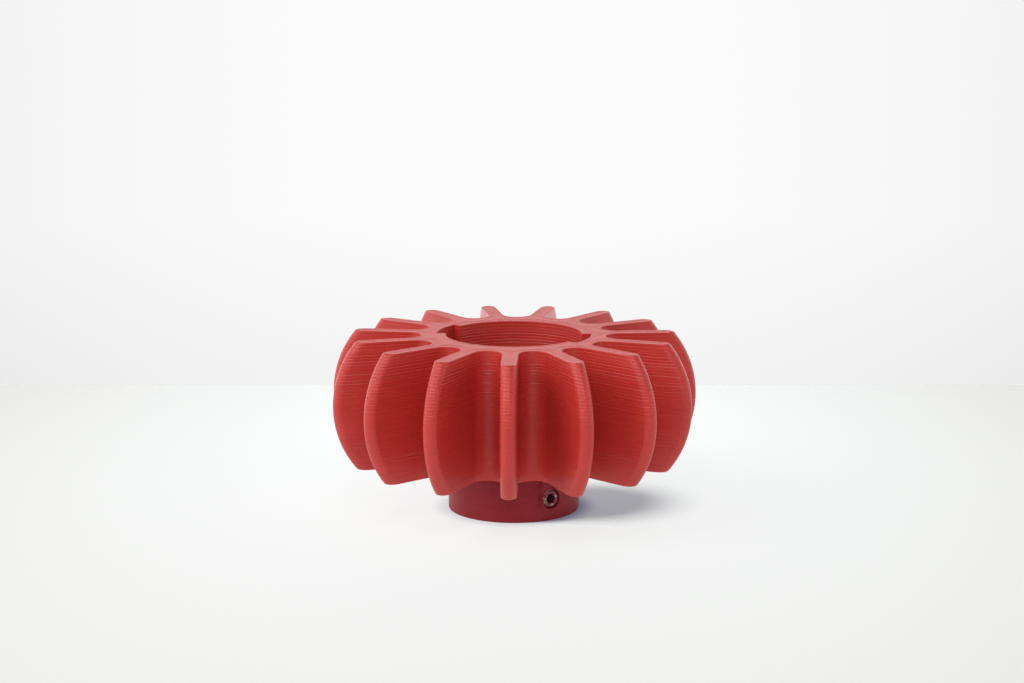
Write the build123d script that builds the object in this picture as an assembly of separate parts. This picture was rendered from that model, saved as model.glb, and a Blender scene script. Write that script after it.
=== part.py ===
from build123d import *
import math
import os

# Finned hand wheel on a twist-lock hub, clamped to a drive shaft by a set screw.
# Millimetres, +Z up. The origin is the centre of the hub's lower end, on the axis of rotation.
# One fin points along -Y. The hub stands on the table and carries the wheel.

# Wheel
FIN_COUNT = 15
FIN_THICKNESS = 2.5
FIN_END_RADIUS = 26.1
FIN_MIDDLE_RADIUS = 29.9
FIN_TIP_ROUND = 1.2
WHEEL_BOTTOM = 8.0
WHEEL_HEIGHT = 20.75
VALLEY_FLOOR_RADIUS = 15.0
BORE_RADIUS = 11.0
SLOT_RADIUS = 12.5
SLOT_ANGLE = 36.0
SLOT_CENTRES = (-18.0, 162.0)

# Hub
HUB_CLEARANCE = 0.3
HUB_HEIGHT = 16.0
SHAFT_RADIUS = 2.55
SHAFT_RECESS_RADIUS = 6.0
SHAFT_RECESS_DEPTH = 1.5
LUG_ANGLE = 30.0
LUG_BOTTOM = 10.5
LUG_HEIGHT = 4.0
HUB_CHAMFER = 0.4

# Twist lock
TWIST_ANGLE = 42.0
LUG_END_PLAY = 1.5
LUG_FACE_GAP = 0.25

# M3 set screw and nut
SCREW_DIRECTION = -54.0
SCREW_HEIGHT = 3.5
SCREW_RADIUS = 1.5
SCREW_CLEARANCE = 0.1
SCREW_LENGTH = 8.0
SCREW_TIP_GAP = 0.05
KEY_ACROSS_FLATS = 1.5
KEY_DEPTH = 2.0
NUT_ACROSS_FLATS = 5.5
NUT_THICKNESS = 2.4
NUT_CLEARANCE = 0.1
NUT_INNER_RADIUS = 5.0
SCREW_CHAMFER = 0.25

WEDGE_STEP = 30.0
WHEEL_TOP = WHEEL_BOTTOM + WHEEL_HEIGHT
HUB_RADIUS = BORE_RADIUS - HUB_CLEARANCE
LUG_RADIUS = SLOT_RADIUS - HUB_CLEARANCE


def wedge(angle_from, angle_to, reach):
    """Flat face covering a range of directions out to a reach, with its point on the axis."""
    steps = math.ceil((angle_to - angle_from) / WEDGE_STEP)
    corners = [(0, 0)]
    for step in range(steps + 1):
        angle = math.radians(angle_from + (angle_to - angle_from) * step / steps)
        corners.append((reach * math.cos(angle), reach * math.sin(angle)))
    return make_face(Polyline(*corners, close=True))


def ring_sector(inner_radius, outer_radius, angle_from, angle_to, bottom, height):
    """Solid piece of a ring between two directions."""
    ring = Circle(outer_radius) - Circle(inner_radius)
    sector = ring & wedge(angle_from, angle_to, 2 * outer_radius)
    return Pos(0, 0, bottom) * extrude(sector, height)


def valley_outline():
    """Gap between two neighbouring fins, opening along +X, with a full round at its floor."""
    half_pitch = math.radians(180 / FIN_COUNT)
    sine = math.sin(half_pitch)
    cosine = math.cos(half_pitch)
    round_radius = (VALLEY_FLOOR_RADIUS * sine - FIN_THICKNESS / 2) / (1 - sine)
    centre = VALLEY_FLOOR_RADIUS + round_radius
    start_x = centre - round_radius * sine
    start_y = round_radius * cosine
    reach = FIN_MIDDLE_RADIUS
    end_x = start_x + reach * cosine
    end_y = start_y + reach * sine
    gap = Polyline((start_x, start_y), (end_x, end_y), (end_x, -end_y), (start_x, -start_y), close=True)
    return make_face(gap) + Pos(centre, 0) * Circle(round_radius)


def barrel():
    """Body of revolution that gives the fins their bulging outline."""
    bottom = (FIN_END_RADIUS, WHEEL_BOTTOM)
    middle = (FIN_MIDDLE_RADIUS, WHEEL_BOTTOM + WHEEL_HEIGHT / 2)
    top = (FIN_END_RADIUS, WHEEL_TOP)
    side = ThreePointArc(bottom, middle, top)
    rest = Polyline(top, (0, WHEEL_TOP), (0, WHEEL_BOTTOM), bottom)
    return revolve(Plane.XZ * make_face([side, rest]), Axis.Z)


def fin_wheel():
    plan = Circle(FIN_MIDDLE_RADIUS + 1)
    for index in range(FIN_COUNT):
        direction = -90 + (index + 0.5) * 360 / FIN_COUNT
        plan -= Rot(0, 0, direction) * valley_outline()
    wheel = Pos(0, 0, WHEEL_BOTTOM) * extrude(plan, WHEEL_HEIGHT) & barrel()
    wheel = fillet(tip_edges(wheel), FIN_TIP_ROUND)
    wheel -= Pos(0, 0, WHEEL_BOTTOM) * extrude(Circle(BORE_RADIUS), WHEEL_HEIGHT)
    for centre in SLOT_CENTRES:
        slot_from = centre - SLOT_ANGLE / 2
        slot_to = centre + SLOT_ANGLE / 2
        wheel -= ring_sector(BORE_RADIUS - 1, SLOT_RADIUS, slot_from, slot_to, WHEEL_BOTTOM, WHEEL_HEIGHT)
        pocket_to = centre + TWIST_ANGLE + LUG_ANGLE / 2 + LUG_END_PLAY
        pocket_bottom = LUG_BOTTOM - LUG_FACE_GAP
        pocket_height = LUG_HEIGHT + 2 * LUG_FACE_GAP
        wheel -= ring_sector(BORE_RADIUS - 1, SLOT_RADIUS, centre, pocket_to, pocket_bottom, pocket_height)
    return wheel


def tip_edges(wheel):
    """Upright edges where the fins' side faces meet their bulging outer faces."""
    edges = []
    for edge in wheel.edges():
        ends = [edge.position_at(0), edge.position_at(1)]
        upright = abs(ends[0].Z - ends[1].Z) > WHEEL_HEIGHT / 2
        outside = min(math.hypot(end.X, end.Y) for end in ends) > FIN_END_RADIUS - 1
        if upright and outside:
            edges.append(edge)
    return edges


def hub_core():
    hub = extrude(Circle(HUB_RADIUS), HUB_HEIGHT)
    hub = chamfer(hub.edges().group_by(Axis.Z)[-1], HUB_CHAMFER)
    for centre in SLOT_CENTRES:
        lug_centre = centre + TWIST_ANGLE
        lug_from = lug_centre - LUG_ANGLE / 2
        lug_to = lug_centre + LUG_ANGLE / 2
        hub += ring_sector(HUB_RADIUS - 1, LUG_RADIUS, lug_from, lug_to, LUG_BOTTOM, LUG_HEIGHT)
    hub -= extrude(Circle(SHAFT_RADIUS), HUB_HEIGHT)
    recess_floor = HUB_HEIGHT - SHAFT_RECESS_DEPTH
    hub -= Pos(0, 0, recess_floor) * extrude(Circle(SHAFT_RECESS_RADIUS), SHAFT_RECESS_DEPTH)
    hub -= screw_hole() + nut_pocket()
    return hub


def along_screw(distance):
    """Plane square to the screw's axis, at a distance from the hub's axis, facing outwards."""
    outward = Vector(1, 0, 0).rotate(Axis.Z, SCREW_DIRECTION)
    upward = Vector(0, 0, 1)
    sideways = upward.cross(outward)
    origin = outward * distance + upward * SCREW_HEIGHT
    return Plane(origin=origin, x_dir=sideways, z_dir=outward)


def screw_hole():
    return along_screw(0) * extrude(Circle(SCREW_RADIUS + SCREW_CLEARANCE), HUB_RADIUS + 1)


def nut_pocket():
    """Hexagonal seat that runs down to the hub's lower end, so that the nut slides in from below."""
    across = NUT_ACROSS_FLATS + 2 * NUT_CLEARANCE
    thickness = NUT_THICKNESS + 2 * NUT_CLEARANCE
    start = NUT_INNER_RADIUS - NUT_CLEARANCE
    seat = hexagon(across) + Pos(0, -SCREW_HEIGHT / 2) * Rectangle(across, SCREW_HEIGHT)
    return along_screw(start) * extrude(seat, thickness)


def hexagon(across_flats):
    """Hexagon with two upright flats, so that a corner points up."""
    return RegularPolygon(across_flats / math.sqrt(3), 6, rotation=30)


def set_screw():
    tip = SHAFT_RADIUS + SCREW_TIP_GAP
    screw = along_screw(tip) * extrude(Circle(SCREW_RADIUS), SCREW_LENGTH)
    screw = chamfer(screw.edges().filter_by(GeomType.CIRCLE), SCREW_CHAMFER)
    key_radius = KEY_ACROSS_FLATS / math.sqrt(3)
    socket = along_screw(tip + SCREW_LENGTH - KEY_DEPTH) * extrude(RegularPolygon(key_radius, 6), KEY_DEPTH)
    return screw - socket


def captive_nut():
    blank = along_screw(NUT_INNER_RADIUS) * extrude(hexagon(NUT_ACROSS_FLATS), NUT_THICKNESS)
    hole = along_screw(NUT_INNER_RADIUS) * extrude(Circle(SCREW_RADIUS + SCREW_CLEARANCE / 2), NUT_THICKNESS)
    return blank - hole


os.makedirs("parts", exist_ok=True)
for make_piece in (fin_wheel, hub_core, set_screw, captive_nut):
    export_step(make_piece(), f"parts/{make_piece.__name__}.step")
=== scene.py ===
import math
import random

import bpy
from mathutils import Matrix, Vector


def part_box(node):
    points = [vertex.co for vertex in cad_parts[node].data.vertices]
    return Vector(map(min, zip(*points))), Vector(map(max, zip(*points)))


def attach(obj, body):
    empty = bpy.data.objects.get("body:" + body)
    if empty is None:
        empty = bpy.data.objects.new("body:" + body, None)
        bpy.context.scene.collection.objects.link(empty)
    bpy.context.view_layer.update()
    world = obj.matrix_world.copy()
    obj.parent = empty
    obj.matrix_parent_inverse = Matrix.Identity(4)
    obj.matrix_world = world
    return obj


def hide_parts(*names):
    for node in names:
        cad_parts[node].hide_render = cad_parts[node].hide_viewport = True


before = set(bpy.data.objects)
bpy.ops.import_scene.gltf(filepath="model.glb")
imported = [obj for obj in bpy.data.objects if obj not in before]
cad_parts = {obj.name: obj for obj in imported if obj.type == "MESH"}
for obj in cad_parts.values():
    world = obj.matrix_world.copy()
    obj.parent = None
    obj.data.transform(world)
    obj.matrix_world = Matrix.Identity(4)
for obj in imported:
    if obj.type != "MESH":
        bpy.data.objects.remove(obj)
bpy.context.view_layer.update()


# ---------------------------------------------------------------------------------------------
# Finned wheel: one piece of red printed plastic, laid down from the bottom up in layers 0.25 mm
# thick, each a bead that bulges at its middle, so that every wall is ridged. It goes down over the
# hub's two lugs through the slots in its bore, and turns to lock.
# ---------------------------------------------------------------------------------------------
MM = 0.001
LAYER = 0.25 * MM
HAIR = 0.01 * MM
fin_count = 15
fin_thickness = 2.5 * MM
valley_floor = 15.0 * MM
fin_end_reach = 26.1 * MM
fin_middle_reach = 29.9 * MM
bore_radius = 11.0 * MM
slot_radius = 12.5 * MM
slot_half_angle = math.radians(18)
slot_middles = (math.radians(-18), math.radians(162))
lug_half_angle = math.radians(15)
lock_turn = math.radians(42)
pocket_end_play = math.radians(1.5)
pocket_bottom = 10.25 * MM
pocket_top = 14.75 * MM
valley_points = 6
tip_points = 6
slot_steps = 7
lock_steps = 8
rest_steps = 22
corner_gap = math.radians(0.05)
bead_depth = 0.025 * MM
bead_width = 0.44 * MM
bead_shoulder = 0.12 * MM
bead_toe = 0.1 * MM
groove_range = (0.75, 1.35)
crest_range = (0, 0.3)
paired_from = 19.0 * MM
paired_over = 4.0 * MM
paired_deeper = 0.7
paired_shallower = -0.45
end_beads = 2
end_lip = 0.1 * MM
end_lip_drop = 0.05 * MM
ridged_smoothing = 24
wheel_low, wheel_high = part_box("fin_wheel")
chance = random.Random(15)


def deselect_all():
    bpy.ops.object.select_all(action="DESELECT")


def printed_skin(name, columns, rows, place):
    """Tube of rows, extruded one by one from a circle, with the points of each set by place(row)."""
    deselect_all()
    bpy.ops.mesh.primitive_circle_add(vertices=columns, radius=1, location=(0, 0, 0))
    skin = bpy.context.object
    skin.name = name
    bpy.ops.object.mode_set(mode="EDIT")
    for _ in rows[1:]:
        bpy.ops.mesh.extrude_region_move(TRANSFORM_OT_translate={"value": (0, 0, 1)})
    bpy.ops.object.mode_set(mode="OBJECT")
    rings = [place(row) for row in rows]
    for vertex in skin.data.vertices:
        turn = math.atan2(vertex.co.y, vertex.co.x) / (2 * math.pi)
        column = round(turn * columns) % columns
        vertex.co = rings[round(vertex.co.z)][column]
    return skin


def wall_rows(bottom, top):
    """Rows of an upright wall as (height, inset): a crest on each layer, a groove between two. High
    up on the wheel every second groove is deeper."""
    rows = []
    for layer in range(round((top - bottom) / LAYER)):
        base = bottom + layer * LAYER
        if layer:
            rise = min(max((base - paired_from) / paired_over, 0), 1)
            pairing = 1 + rise * (paired_deeper if layer % 2 else paired_shallower)
            rows.append((base, bead_depth * chance.uniform(*groove_range) * pairing))
        rows.append((base + LAYER / 2, bead_depth * chance.uniform(*crest_range)))
    return rows


def flat_rows(height, inwards, beads, first):
    """Rows over a flat end as (height, inset): a rounded lip, then beads side by side."""
    rows = [(height - inwards * end_lip_drop, first * 0.3), (height, first)]
    for bead in range(1, beads + 1):
        edge = first + bead * bead_width
        rows.append((height, edge - bead_shoulder))
        rows.append((height - inwards * bead_depth, edge))
    rows.append((height, edge + bead_toe))
    return rows


def fin_outline(inset, height):
    """Outline of one fin along +X at a height, from the middle of one valley to the next one's."""
    half_pitch = math.pi / fin_count
    sine, cosine = math.sin(half_pitch), math.cos(half_pitch)
    valley_round = (valley_floor * sine - fin_thickness / 2) / (1 - sine)
    valley_middle = valley_floor + valley_round
    points = []
    for step in range(valley_points):
        angle = math.pi - (math.pi / 2 - half_pitch) * (step + 0.5) / (valley_points - 0.5)
        along = valley_middle + (valley_round + inset) * math.cos(angle)
        across = (valley_round + inset) * math.sin(angle)
        points.append((along * cosine + across * sine, across * cosine - along * sine))
    half_height = (wheel_high.z - wheel_low.z) / 2
    bulge = fin_middle_reach - fin_end_reach
    arc = (half_height ** 2 + bulge ** 2) / (2 * bulge)
    off_middle = height - wheel_low.z - half_height
    half = fin_thickness / 2 - inset
    tip = []
    for step in range(tip_points):
        angle = math.pi / 2 * step / (tip_points - 1)
        reach = arc - fin_thickness / 2 + half * math.cos(angle)
        along = fin_middle_reach - arc + math.sqrt(reach ** 2 - off_middle ** 2)
        tip.append((along, -half * math.sin(angle)))
    side = ((points[-1][0] + tip[-1][0]) / 2, -half)
    near = points + [side] + tip[:0:-1]
    return near + [tip[0]] + [(x, -y) for x, y in reversed(near)]


def wheel_ring(row):
    height, inset = row
    outline = fin_outline(inset, height)
    ring = []
    for fin in range(fin_count):
        direction = Matrix.Rotation(math.radians(-90) + 2 * math.pi * fin / fin_count, 3, "Z")
        ring += [direction @ Vector((x, y, height)) for x, y in outline]
    return ring


def bore_ring(row):
    """Inside of the bore: its round wall, the two slots, and the lock pockets part of the way up."""
    height, inset = row
    in_pocket = pocket_bottom + HAIR < height < pocket_top - HAIR
    ring = []
    for middle in slot_middles:
        wide = slot_radius + inset
        narrow = bore_radius + inset
        spread = inset / slot_radius
        slot_from = middle - slot_half_angle - spread
        slot_to = middle + slot_half_angle + spread
        pocket_to = middle + lock_turn + lug_half_angle + pocket_end_play
        rest_to = middle + math.pi - slot_half_angle - spread
        pocket = wide if in_pocket else narrow
        ring.append((narrow, slot_from))
        for step in range(slot_steps + 1):
            ring.append((wide, slot_from + (slot_to - slot_from) * step / slot_steps))
        for step in range(lock_steps + 1):
            ring.append((pocket, slot_to + (pocket_to - slot_to) * step / lock_steps))
        rest_from = pocket_to + corner_gap
        for step in range(rest_steps):
            ring.append((narrow, rest_from + (rest_to - rest_from) * step / rest_steps))
    return [Vector((reach * math.cos(turn), reach * math.sin(turn), height)) for reach, turn in ring]


def capped(bottom, top):
    """All the rows of a wall with its two flat ends, from the lower end's fill to the upper one's."""
    lower = flat_rows(bottom, -1, end_beads, end_lip)
    upper = flat_rows(top, 1, end_beads, end_lip)
    return list(reversed(lower)) + wall_rows(bottom, top) + upper


def work_on(piece):
    """Makes a piece the only one that operators act on."""
    deselect_all()
    piece.select_set(True)
    bpy.context.view_layer.objects.active = piece


def select_open_edges(piece):
    """Opens a piece in edit mode with just the edges of its open ends selected."""
    work_on(piece)
    bpy.ops.object.mode_set(mode="EDIT")
    bpy.ops.mesh.select_mode(type="EDGE")
    bpy.ops.mesh.select_all(action="DESELECT")
    bpy.ops.mesh.select_non_manifold(extend=False, use_wire=False, use_boundary=True,
                                     use_multi_face=False, use_non_contiguous=False, use_verts=False)


def fill_flat(piece, height):
    """Closes the flat end at a height between the wall's loops."""
    select_open_edges(piece)
    bpy.ops.object.mode_set(mode="OBJECT")
    for edge in piece.data.edges:
        middle = piece.data.vertices[edge.vertices[0]].co.z
        if abs(middle - height) > 0.001 * MM:
            edge.select = False
    bpy.ops.object.mode_set(mode="EDIT")
    bpy.ops.mesh.fill(use_beauty=True)
    bpy.ops.object.mode_set(mode="OBJECT")


def join(pieces, name):
    deselect_all()
    for piece in pieces:
        piece.select_set(True)
    bpy.context.view_layer.objects.active = pieces[0]
    bpy.ops.object.join()
    pieces[0].name = name
    return pieces[0]


def point_outwards(piece):
    work_on(piece)
    bpy.ops.object.mode_set(mode="EDIT")
    bpy.ops.mesh.select_all(action="SELECT")
    bpy.ops.mesh.normals_make_consistent(inside=False)
    bpy.ops.object.mode_set(mode="OBJECT")


def smooth(piece, degrees):
    work_on(piece)
    bpy.ops.object.shade_smooth_by_angle(angle=math.radians(degrees))


wheel_rows = capped(wheel_low.z, wheel_high.z)
wheel_columns = len(wheel_ring(wheel_rows[0]))
bore_columns = len(bore_ring(wheel_rows[0]))
outside = printed_skin("wheel_outside", wheel_columns, wheel_rows, wheel_ring)
inside = printed_skin("wheel_inside", bore_columns, wheel_rows, bore_ring)
wheel = join([outside, inside], "finned_wheel_print")
fill_flat(wheel, wheel_low.z)
fill_flat(wheel, wheel_high.z)
point_outwards(wheel)
smooth(wheel, ridged_smoothing)


class Link:
    """One socket of a shader tree, so that shader maths reads as plain expressions."""

    def __init__(self, tree, socket):
        self.tree = tree
        self.socket = socket

    def node(self, kind, settings=None, output=0, **inputs):
        """Adds a node, sets its settings and then its sockets, and returns one of its outputs."""
        made = self.tree.nodes.new(kind)
        for key, value in (settings or {}).items():
            if key == "stops":
                ramp = made.color_ramp
                while len(ramp.elements) < len(value):
                    ramp.elements.new(0.5)
                for element, (place, colour) in zip(ramp.elements, value):
                    element.position = place
                    element.color = colour
            else:
                setattr(made, key, value)
        for key, value in inputs.items():
            target = made.inputs[int(key[1:])] if key[0] == "i" and key[1:].isdigit() else made.inputs[key]
            if isinstance(value, Link):
                self.tree.links.new(value.socket, target)
            else:
                target.default_value = value
        return Link(self.tree, made.outputs[output])

    def maths(self, operation, other=0.0, third=0.0):
        return self.node("ShaderNodeMath", {"operation": operation}, i0=self, i1=other, i2=third)

    def __add__(self, other):
        return self.maths("ADD", other)

    def __sub__(self, other):
        return self.maths("SUBTRACT", other)

    def __mul__(self, other):
        return self.maths("MULTIPLY", other)

    def __truediv__(self, other):
        return self.maths("DIVIDE", other)

    def __radd__(self, other):
        return self.maths("ADD", other)

    def __rmul__(self, other):
        return self.maths("MULTIPLY", other)

    def __rsub__(self, other):
        return self.maths("MULTIPLY_ADD", -1.0, other)


def new_material(name):
    """A node material with its Principled shader, and a link to start expressions from."""
    material = bpy.data.materials.new(name)
    material.use_nodes = True
    tree = material.node_tree
    shader = tree.nodes["Principled BSDF"]
    place = tree.nodes.new("ShaderNodeTexCoord")
    return material, tree, shader, Link(tree, place.outputs["Object"])


def feed(tree, link, socket):
    tree.links.new(link.socket, socket)


def printed_plastic(name, dark, light, roughness, gleam, flats):
    """Printed plastic. On walls the tone and gloss drift from layer to layer. On the flat ends, at
    the heights in flats, the inside is filled with slanting beads laid side by side."""
    material, tree, shader, place = new_material(name)
    across = place.node("ShaderNodeSeparateXYZ", output=0, Vector=place)
    along = place.node("ShaderNodeSeparateXYZ", output=1, Vector=place)
    height = place.node("ShaderNodeSeparateXYZ", output=2, Vector=place)
    flat_reach = 0.07 * MM
    flat = 0 * height
    for flat_height in flats:
        here = (height - flat_height).maths("ABSOLUTE").maths("LESS_THAN", flat_reach)
        flat = flat.maths("MAXIMUM", here)
    layer_number = height / LAYER
    streak = place.node("ShaderNodeTexNoise", {"noise_dimensions": "1D"}, W=layer_number * 0.9,
                        Scale=1.0, Detail=2.0, Roughness=0.7)
    bead_number = (across + along) / (math.sqrt(2) * bead_width)
    bead_tone = place.node("ShaderNodeTexNoise", {"noise_dimensions": "1D"}, W=bead_number * 0.8,
                           Scale=1.0, Detail=1.0)
    bead_round = (bead_number.maths("FRACT") - 0.5).maths("ABSOLUTE").maths("POWER", 2.0) * -4 + 1
    drift = place.node("ShaderNodeTexNoise", Vector=place, Scale=150.0, Detail=3.0)
    mottle = place.node("ShaderNodeTexNoise", Vector=place, Scale=1400.0, Detail=3.0, Roughness=0.6)
    grain = place.node("ShaderNodeTexNoise", Vector=place, Scale=9000.0, Detail=2.0)
    lines = flat * bead_tone + (1 - flat) * streak
    tone = lines * 0.28 + drift * 0.3 + mottle * 0.22 + grain * 0.2
    colour = place.node("ShaderNodeValToRGB", {"stops": [(0.32, dark), (0.68, light)]}, Fac=tone)
    feed(tree, colour, shader.inputs["Base Color"])
    gloss = roughness + flat * 0.14 + (lines - 0.5) * 0.1 + (mottle - 0.5) * 0.2 + (grain - 0.5) * 0.1
    feed(tree, gloss, shader.inputs["Roughness"])
    relief = flat * bead_round * 0.5 + (1 - flat) * streak * 0.25 + mottle * 0.35 + grain * 0.25
    bump = place.node("ShaderNodeBump", Height=relief, Strength=0.6, Distance=0.04 * MM)
    feed(tree, bump, shader.inputs["Normal"])
    shader.inputs["IOR"].default_value = 1.46
    shader.inputs["Specular IOR Level"].default_value = gleam
    return material


red = printed_plastic("red_print", dark=(0.41, 0.021, 0.018, 1), light=(0.55, 0.039, 0.029, 1),
                      roughness=0.42, gleam=0.5, flats=(wheel_low.z, wheel_high.z))
wheel.data.materials.clear()
wheel.data.materials.append(red)
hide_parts("fin_wheel")
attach(wheel, "wheel")


# ---------------------------------------------------------------------------------------------
# Hub: a plug of crimson printed plastic with two lugs, which lock in the wheel's bore. Its layers
# all start at one place, which leaves a ridged seam, and driving the set screw has pushed up a
# rough lip round its hole. The nut slides into a pocket that is open below.
# ---------------------------------------------------------------------------------------------
hub_low, hub_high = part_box("hub_core")
hub_radius = 10.7 * MM
lug_radius = 12.2 * MM
lug_bottom = 10.5 * MM
lug_top = 14.5 * MM
recess_radius = 6.0 * MM
recess_floor = 14.5 * MM
shaft_radius = 2.55 * MM
top_chamfer = 0.4 * MM
seam_turn = math.radians(-65.3)
seam_width = 0.16 * MM
seam_height = 0.26 * MM
seam_spacing = 0.78 * MM
seam_end = 1.9 * MM
seam_fade = 0.5 * MM
seam_dip = 0.4
seam_ridges = ((-0.5, 1.0), (0.5, 0.7))
seam_range = (0.5, 1.3)
screw_turn = math.radians(-54)
screw_height = 3.5 * MM
screw_hole_radius = 1.6 * MM
hole_sides = 48
hole_from = 1.0 * MM
hole_to = 12.0 * MM
lip_height = 0.15 * MM
lip_away = 0.12 * MM
lip_width = 0.16 * MM
lip_range = (0.3, 1.3)
edge_round = 0.05 * MM
foot_round = 0.06 * MM
last_layer_gap = 0.1 * MM
rim_beads = 3
recess_rim_beads = 2
recess_floor_beads = 7
nut_across_flats = 5.5 * MM
nut_inner_face = 5.0 * MM
nut_outer_face = 7.4 * MM
nut_gap = 0.1 * MM
slide_way_below = 1.0 * MM
fine_from = -72.0
fine_step = 0.75
fine_count = 45
fine_to = fine_from + fine_step * fine_count
coarse_count = 130
coarse_step = (360 + fine_from - fine_to) / coarse_count
hub_turns = [math.radians(fine_from + fine_step * step) for step in range(fine_count)]
hub_turns += [math.radians(fine_to + coarse_step * step) for step in range(1, coarse_count)]


def lug_at(turn):
    """Whether a lug stands out from the hub in a direction."""
    for middle in slot_middles:
        off = (turn - middle - lock_turn + math.pi) % (2 * math.pi) - math.pi
        if abs(off) < lug_half_angle:
            return True
    return False


def hub_wall_ring(row):
    """Outer wall of the hub at a row, with its lugs, its seam and the lip round the screw's hole."""
    height, inset = row
    blob = chance.uniform(*seam_range) * min(max((height - seam_end) / seam_fade, 0), 1)
    ring = []
    for turn in hub_turns:
        reach = hub_radius - inset
        if lug_bottom + HAIR < height < lug_top - HAIR and lug_at(turn):
            reach = lug_radius - inset
        seam_off = hub_radius * (turn - seam_turn)
        if height < hub_high.z - top_chamfer:
            for side, share in seam_ridges:
                ridge_off = (seam_off - side * seam_spacing) / seam_width
                reach += share * blob * seam_height * math.exp(-ridge_off ** 2)
            reach -= seam_dip * blob * seam_height * math.exp(-(seam_off / seam_width) ** 2)
            hole_off = math.hypot(hub_radius * (turn - screw_turn), height - screw_height)
            lip_off = (hole_off - screw_hole_radius - lip_away) / lip_width
            reach += chance.uniform(*lip_range) * lip_height * math.exp(-lip_off ** 2)
        ring.append(Vector((reach * math.cos(turn), reach * math.sin(turn), height)))
    return ring


def round_ring(row):
    height, reach = row
    return [Vector((reach * math.cos(turn), reach * math.sin(turn), height)) for turn in hub_turns]


def close_profile(piece):
    """Joins a skin's last row to its first, which lie on each other."""
    work_on(piece)
    bpy.ops.object.mode_set(mode="EDIT")
    bpy.ops.mesh.select_all(action="SELECT")
    bpy.ops.mesh.remove_doubles(threshold=0.0001 * MM)
    bpy.ops.object.mode_set(mode="OBJECT")
    point_outwards(piece)


def cut_away(piece, cutter):
    """Takes a cutter's space out of a piece and deletes the cutter."""
    cut = piece.modifiers.new("cut", "BOOLEAN")
    cut.operation = "DIFFERENCE"
    cut.solver = "EXACT"
    cut.object = cutter
    deselect_all()
    bpy.context.view_layer.objects.active = piece
    bpy.ops.object.modifier_apply(modifier=cut.name)
    bpy.data.objects.remove(cutter)


hub_outer_rows = [(0, foot_round)] + wall_rows(hub_low.z, hub_high.z - top_chamfer - last_layer_gap)
hub_outer_rows += [(hub_high.z - top_chamfer, 0), (hub_high.z, top_chamfer)]
hub_inner_rows = []
for bead in range(1, rim_beads + 1):
    edge = hub_radius - top_chamfer - bead * bead_width
    hub_inner_rows += [(hub_high.z, edge + bead_shoulder), (hub_high.z - bead_depth, edge)]
    hub_inner_rows.append((hub_high.z, edge - bead_toe))
for bead in range(recess_rim_beads, 0, -1):
    edge = recess_radius + bead * bead_width
    hub_inner_rows += [(hub_high.z, edge + bead_toe), (hub_high.z - bead_depth, edge)]
    hub_inner_rows.append((hub_high.z, edge - bead_shoulder))
hub_inner_rows.append((hub_high.z, recess_radius + edge_round))
recess_rows = reversed(wall_rows(recess_floor, hub_high.z))
hub_inner_rows += [(height, recess_radius + inset) for height, inset in recess_rows]
hub_inner_rows.append((recess_floor, recess_radius - edge_round))
for bead in range(1, recess_floor_beads + 1):
    edge = recess_radius - bead * bead_width
    hub_inner_rows += [(recess_floor, edge + bead_shoulder), (recess_floor - bead_depth, edge)]
hub_inner_rows.append((recess_floor, shaft_radius + edge_round))
shaft_rows = reversed(wall_rows(hub_low.z, recess_floor))
hub_inner_rows += [(height, shaft_radius + inset) for height, inset in shaft_rows]
hub_inner_rows.append((hub_low.z, shaft_radius + foot_round))
first_hub_ring = hub_wall_ring(hub_outer_rows[0])


def hub_ring(row):
    """The hub's rows go up its outer wall and down its recess and shaft bore, back to the first."""
    if row == hub_outer_rows[0]:
        return first_hub_ring
    if row in hub_outer_rows:
        return hub_wall_ring(row)
    return round_ring(row)


hub_rows = hub_outer_rows + hub_inner_rows + hub_outer_rows[:1]
hub = printed_skin("twist_lock_hub", len(hub_turns), hub_rows, hub_ring)
close_profile(hub)

screw_frame = Matrix.Translation((0, 0, screw_height)) @ Matrix.Rotation(screw_turn, 4, "Z")
screw_frame = screw_frame @ Matrix.Rotation(math.radians(90), 4, "Y")


def rod_on_screw_line(sides, radius, inner, outer):
    """Straight rod of a number of sides along the set screw's line, between two distances."""
    deselect_all()
    bpy.ops.mesh.primitive_cylinder_add(vertices=sides, radius=radius, depth=outer - inner)
    rod = bpy.context.object
    rod.data.transform(screw_frame @ Matrix.Translation((0, 0, (inner + outer) / 2)))
    return rod


cut_away(hub, rod_on_screw_line(hole_sides, screw_hole_radius, hole_from, hole_to))
pocket_inner = nut_inner_face - nut_gap
pocket_outer = nut_outer_face + nut_gap
pocket_flats = nut_across_flats + 2 * nut_gap
cut_away(hub, rod_on_screw_line(6, pocket_flats / math.sqrt(3), pocket_inner, pocket_outer))
deselect_all()
bpy.ops.mesh.primitive_cube_add(size=1)
slide_way = bpy.context.object
for vertex in slide_way.data.vertices:
    reach = pocket_outer if vertex.co.x > 0 else pocket_inner
    across = math.copysign(pocket_flats / 2, vertex.co.y)
    height = screw_height if vertex.co.z > 0 else -slide_way_below
    vertex.co = Matrix.Rotation(screw_turn, 3, "Z") @ Vector((reach, across, height))
cut_away(hub, slide_way)
smooth(hub, ridged_smoothing)

crimson = printed_plastic("crimson_print", dark=(0.21, 0.012, 0.018, 1), light=(0.3, 0.02, 0.026, 1),
                          roughness=0.42, gleam=0.18, flats=(hub_low.z, recess_floor, hub_high.z))
hub.data.materials.clear()
hub.data.materials.append(crimson)
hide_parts("hub_core")
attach(hub, "hub")


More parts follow.
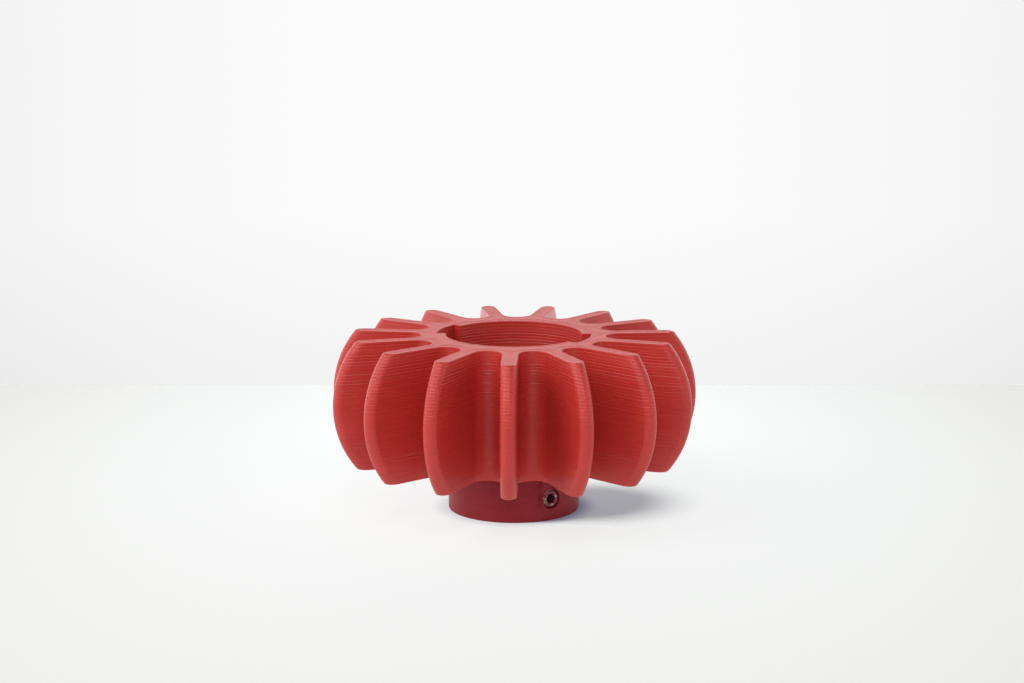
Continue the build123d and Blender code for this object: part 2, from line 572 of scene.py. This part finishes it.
# ---------------------------------------------------------------------------------------------
# Set screw: an M3 stainless screw, 8 mm long, with a rolled thread, a cup point that bites the
# shaft and a socket for a hexagonal key. It runs in the nut, and its face has crimson plastic
# rubbed onto it from the edge of its hole.
# ---------------------------------------------------------------------------------------------
screw_radius = 1.5 * MM
screw_pitch = 0.5 * MM
screw_inner_end = 2.6 * MM
screw_outer_end = 10.6 * MM
screw_chamfer = 0.25 * MM
face_radius = 1.22 * MM
cup_depth = 0.5 * MM
cup_radius = 0.95 * MM
cup_rim = 1.15 * MM
key_flats = 1.5 * MM
key_depth = 2.0 * MM
key_mouth = 0.1 * MM
key_lead = 0.12 * MM
key_drill = 0.35 * MM
point = 0.001 * MM
thread_depth = 0.28 * MM
thread_floor = 1.25
thread_slope = 3.1
thread_step = screw_pitch / 10
screw_columns = 48
screw_smoothing = 30


def thread_wave(turn, along):
    """How deep a rolled thread is at a direction and a place along it, from 0 at its crest to 1."""
    phase = (along / screw_pitch - turn / (2 * math.pi)) % 1
    return min(1, max(0, thread_floor - abs(phase - 0.5) * thread_slope))


def hexagon_reach(flats, turn):
    """Distance from the middle of a hexagon to its side, in a direction."""
    off = (turn + math.pi / 6) % (math.pi / 3) - math.pi / 6
    return flats / 2 / math.cos(off)


def screw_ring(row):
    kind, along, reach = row
    ring = []
    for column in range(screw_columns):
        turn = 2 * math.pi * column / screw_columns
        radius = reach
        if kind == "thread":
            radius = min(reach, screw_radius - thread_depth * thread_wave(turn, along))
        if kind == "key":
            radius = hexagon_reach(key_flats, turn) + reach
        ring.append(screw_frame @ Vector((radius * math.cos(turn), radius * math.sin(turn), along)))
    return ring


screw_rows = [("plain", screw_inner_end + cup_depth, point), ("plain", screw_inner_end, cup_radius)]
screw_rows.append(("plain", screw_inner_end, cup_rim))
thread_steps = round((screw_outer_end - screw_inner_end) / thread_step)
for step in range(1, thread_steps):
    along = screw_inner_end + step * thread_step
    from_end = min(along - screw_inner_end, screw_outer_end - along)
    screw_rows.append(("thread", along, screw_radius - max(0, screw_chamfer - from_end)))
screw_rows += [("plain", screw_outer_end, face_radius), ("key", screw_outer_end, key_mouth)]
screw_rows += [("key", screw_outer_end - key_lead, 0), ("key", screw_outer_end - key_depth, 0)]
screw_rows.append(("plain", screw_outer_end - key_depth - key_drill, point))
screw = printed_skin("set_screw_m3", screw_columns, screw_rows, screw_ring)
select_open_edges(screw)
bpy.ops.mesh.edge_face_add()
bpy.ops.object.mode_set(mode="OBJECT")
point_outwards(screw)
smooth(screw, screw_smoothing)


def bare_metal(name, colour, roughness, smear):
    """Bare metal with dull patches, and crimson plastic rubbed onto it near the screw's axis."""
    material, tree, shader, place = new_material(name)
    dull = place.node("ShaderNodeTexNoise", Vector=place, Scale=2500.0, Detail=4.0)
    fine = place.node("ShaderNodeTexNoise", Vector=place, Scale=14000.0, Detail=2.0)
    patch = place.node("ShaderNodeTexNoise", Vector=place, Scale=1500.0, Detail=3.0, Roughness=0.65)
    lifted = place.node("ShaderNodeVectorMath", {"operation": "SUBTRACT"}, i0=place, i1=(0, 0, screw_height))
    across = place.node("ShaderNodeVectorMath", {"operation": "CROSS_PRODUCT"}, i0=lifted,
                        i1=(math.cos(screw_turn), math.sin(screw_turn), 0))
    off_axis = place.node("ShaderNodeVectorMath", {"operation": "LENGTH"}, output=1, i0=across)
    near = place.node("ShaderNodeMapRange", {"clamp": True}, Value=off_axis,
                      **{"From Min": screw_radius, "From Max": screw_radius - screw_chamfer,
                         "To Min": 0.0, "To Max": smear})
    rubbed = place.node("ShaderNodeMapRange", {"clamp": True}, Value=patch + near,
                        **{"From Min": 0.72, "From Max": 0.78, "To Min": 0.0, "To Max": 1.0})
    darker = tuple(channel * 0.72 for channel in colour)
    metal = place.node("ShaderNodeMix", {"data_type": "RGBA"}, output=2, Factor=dull,
                       i6=(*darker, 1), i7=(*colour, 1))
    both = place.node("ShaderNodeMix", {"data_type": "RGBA"}, output=2, Factor=rubbed,
                      i6=metal, i7=(0.2, 0.018, 0.022, 1))
    feed(tree, both, shader.inputs["Base Color"])
    feed(tree, 1 - rubbed, shader.inputs["Metallic"])
    feed(tree, roughness + dull * 0.2 + rubbed * 0.1, shader.inputs["Roughness"])
    bump = place.node("ShaderNodeBump", Height=fine * 0.4 + rubbed * 0.6, Strength=0.3, Distance=0.02 * MM)
    feed(tree, bump, shader.inputs["Normal"])
    return material


stainless = bare_metal("stainless_steel", (0.62, 0.6, 0.59), roughness=0.26, smear=0.36)
screw.data.materials.append(stainless)
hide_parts("set_screw")
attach(screw, "screw")


# ---------------------------------------------------------------------------------------------
# Captive nut: a zinc-plated M3 nut, slid into the hub's pocket from below with a corner upwards,
# so that its flats keep it from turning while the set screw is driven through it.
# ---------------------------------------------------------------------------------------------
nut_hole = 1.55 * MM
nut_groove = 0.2 * MM
nut_mouth = 0.3 * MM
nut_thread_inset = 3
nut_columns = 48
nut_face_radius = 2.6 * MM
nut_chamfer_rows = 7
nut_chamfer_step = 0.06 * MM
nut_smoothing = 25


def nut_ring(row):
    kind, along, reach = row
    ring = []
    for column in range(nut_columns):
        turn = 2 * math.pi * column / nut_columns
        radius = reach
        if kind == "hexagon":
            radius = min(reach, hexagon_reach(nut_across_flats, turn + math.pi / 6))
        if kind == "thread":
            radius = reach + nut_groove * (1 - thread_wave(turn, along))
        ring.append(screw_frame @ Vector((radius * math.cos(turn), radius * math.sin(turn), along)))
    return ring


nut_rows = []
for step in range(nut_chamfer_rows):
    from_face = step * nut_chamfer_step
    nut_rows.append(("hexagon", nut_inner_face + from_face, nut_face_radius + math.sqrt(3) * from_face))
both_faces = nut_inner_face + nut_outer_face
nut_rows += [(kind, both_faces - along, reach) for kind, along, reach in reversed(nut_rows)]
nut_rows.append(("plain", nut_outer_face, nut_hole + nut_mouth))
nut_steps = round((nut_outer_face - nut_inner_face) / thread_step)
for step in range(nut_steps - nut_thread_inset, nut_thread_inset, -1):
    nut_rows.append(("thread", nut_inner_face + step * thread_step, nut_hole))
nut_rows.append(("plain", nut_inner_face, nut_hole + nut_mouth))
nut_rows.append(nut_rows[0])
nut = printed_skin("captive_nut_m3", nut_columns, nut_rows, nut_ring)
close_profile(nut)
smooth(nut, nut_smoothing)
zinc = bare_metal("zinc_steel", (0.66, 0.68, 0.72), roughness=0.28, smear=0.0)
nut.data.materials.append(zinc)
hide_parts("captive_nut")
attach(nut, "hub")


# ---------------------------------------------------------------------------------------------
# Stage: a pale floor that glows a little and ends a short way behind the object; its glow is brighter
# and bluer near the object, a painted pool of fill light, and turns dark round the hub's foot, a painted
# contact shadow. The camera sees a white backdrop, while surroundings that it does not see light the
# object from behind and from both sides. Two soft lights stand in front and to the left, and a third
# acts on the floor alone.
# ---------------------------------------------------------------------------------------------
view_turn = math.radians(1.74)
floor_behind = 93.4 * MM
floor_in_front = 1.5
floor_half_width = 2.0
floor_glow = 0.33
# Radii between which the floor's painted contact shadow round the hub's foot fades out.
painted_shadow_from = hub_radius - 0.5 * MM
painted_shadow_to = hub_radius + 3.5 * MM
deselect_all()
bpy.ops.mesh.primitive_plane_add(size=1, location=(0, 0, 0))
floor = bpy.context.object
floor.name = "floor"
for vertex in floor.data.vertices:
    x = math.copysign(floor_half_width, vertex.co.x)
    y = floor_behind if vertex.co.y > 0 else -floor_in_front
    vertex.co = Matrix.Rotation(view_turn, 3, "Z") @ Vector((x, y, 0))
floor_material, tree, shader, place = new_material("pale_floor")
shader.inputs["Base Color"].default_value = (0.2, 0.2, 0.2, 1)
shader.inputs["Roughness"].default_value = 0.8
shader.inputs["Specular IOR Level"].default_value = 0.1
# Painted pool of fill light: the floor glows brighter and bluer close to the object, fading to a dim glow
# further off, which lifts the shade under and around it.
off_middle = place.node("ShaderNodeVectorMath", {"operation": "SUBTRACT"}, i0=place, i1=(0, 0.05, 0))
stretched = place.node("ShaderNodeVectorMath", {"operation": "MULTIPLY"}, i0=off_middle, i1=(1.5, 1, 1))
away = place.node("ShaderNodeVectorMath", {"operation": "LENGTH"}, output=1, i0=stretched)
fade = place.node("ShaderNodeMapRange", {"clamp": True}, Value=away,
                  **{"From Min": 0.05, "From Max": 0.2, "To Min": 0.0, "To Max": 1.0})
glow = place.node("ShaderNodeMix", {"data_type": "RGBA"}, output=2, Factor=fade,
                  i6=(0.82, 0.9, 1.0, 1), i7=(0.22, 0.205, 0.24, 1))
# Painted contact shadow: near the hub's foot the floor's glow turns dark blue, standing in for the shade
# where the hub meets the floor.
off_hub = place.node("ShaderNodeVectorMath", {"operation": "LENGTH"}, output=1, i0=place)
clear = place.node("ShaderNodeMapRange", {"clamp": True, "interpolation_type": "SMOOTHSTEP"}, Value=off_hub,
                   **{"From Min": painted_shadow_from, "From Max": painted_shadow_to, "To Min": 0.0, "To Max": 1.0})
painted_contact_shadow = place.node("ShaderNodeMix", {"data_type": "RGBA"}, output=2, Factor=clear,
                     i6=(0.2, 0.24, 0.4, 1), i7=glow)
feed(tree, painted_contact_shadow, shader.inputs["Emission Color"])
shader.inputs["Emission Strength"].default_value = floor_glow
floor.data.materials.append(floor_material)

world = bpy.data.worlds.new("white_surroundings")
bpy.context.scene.world = world
world.use_nodes = True
tree = world.node_tree
direction = Link(tree, tree.nodes.new("ShaderNodeTexCoord").outputs["Generated"])
side = direction.node("ShaderNodeSeparateXYZ", output=0, Vector=direction)
depth = direction.node("ShaderNodeSeparateXYZ", output=1, Vector=direction)
rise = direction.node("ShaderNodeSeparateXYZ", output=2, Vector=direction)
from_left, from_right, from_behind = 1.8, 1.35, 2.2
left_part = (0 - side).maths("MAXIMUM", 0.0).maths("POWER", 2.0) * from_left
right_part = side.maths("MAXIMUM", 0.0).maths("POWER", 2.0) * from_right
back_part = depth.maths("MAXIMUM", 0.0).maths("POWER", 2.0) * from_behind
level_part = side * side + depth * depth
ring = (left_part + right_part + back_part) / level_part
low = direction.node("ShaderNodeMapRange", {"clamp": True}, Value=rise,
                     **{"From Min": 0.5, "From Max": 0.7, "To Min": 1.0, "To Max": 0.0})
wall = direction.node("ShaderNodeMapRange", {"clamp": True}, Value=rise,
                      **{"From Min": -0.205, "From Max": -0.13, "To Min": 0.91, "To Max": 0.975})
seen = direction.node("ShaderNodeLightPath", output=0)
background = tree.nodes["Background"]
background.inputs["Color"].default_value = (1, 1, 1, 1)
off_centre = (side + math.sin(view_turn)).maths("POWER", 2.0)
dimming = (off_centre * 1.3).maths("MINIMUM", 0.08)
feed(tree, seen * (wall - dimming) + (1 - seen) * ring * low, background.inputs["Strength"])


lamp_distance = 0.55
lamp_aim = Vector((0, 0, 0.015))
softbox_energy = 1.34
softbox_size = 0.35
floor_light_energy = 10.8


def lamp(name, kind, turn, rise, energy):
    """Light aimed at the object from a direction, given by its turn from +X and its rise."""
    light = bpy.data.lights.new(name, kind)
    light.energy = energy
    holder = bpy.data.objects.new(name, light)
    bpy.context.scene.collection.objects.link(holder)
    turn, rise = math.radians(turn) + view_turn, math.radians(rise)
    away = Vector((math.cos(rise) * math.cos(turn), math.cos(rise) * math.sin(turn), math.sin(rise)))
    holder.location = away * lamp_distance + lamp_aim
    holder.rotation_euler = away.to_track_quat("Z", "Y").to_euler()
    return holder


for name, turn in (("left_softbox", -150), ("front_softbox", -90)):
    softbox = lamp(name, "AREA", turn, rise=45, energy=softbox_energy)
    softbox.data.shape = "DISK"
    softbox.data.size = softbox_size

floor_light = lamp("floor_light", "SUN", turn=-172, rise=46, energy=floor_light_energy)
floor_light.data.color = (0.97, 0.97, 0.9)
floor_light.data.angle = math.radians(22)
lit = bpy.data.collections.new("lit_by_floor_light")
lit.objects.link(floor)
floor_light.light_linking.receiver_collection = lit
shading = bpy.data.collections.new("shades_floor_light")
shading.objects.link(hub)
floor_light.light_linking.blocker_collection = shading

camera_distance = 327.2 * MM
camera_height = 91.0 * MM
camera_tilt = math.radians(79.0)
camera_data = bpy.data.cameras.new("camera")
camera_data.sensor_width = 36
camera_data.lens = 72.4
camera_data.shift_x = -0.0017
camera_data.clip_start = 0.01
camera = bpy.data.objects.new("camera", camera_data)
bpy.context.scene.collection.objects.link(camera)
camera.location = Matrix.Rotation(view_turn, 3, "Z") @ Vector((0, -camera_distance, camera_height))
camera.rotation_euler = (camera_tilt, 0, view_turn)
bpy.context.scene.camera = camera
bpy.context.scene.view_settings.view_transform = "Standard"
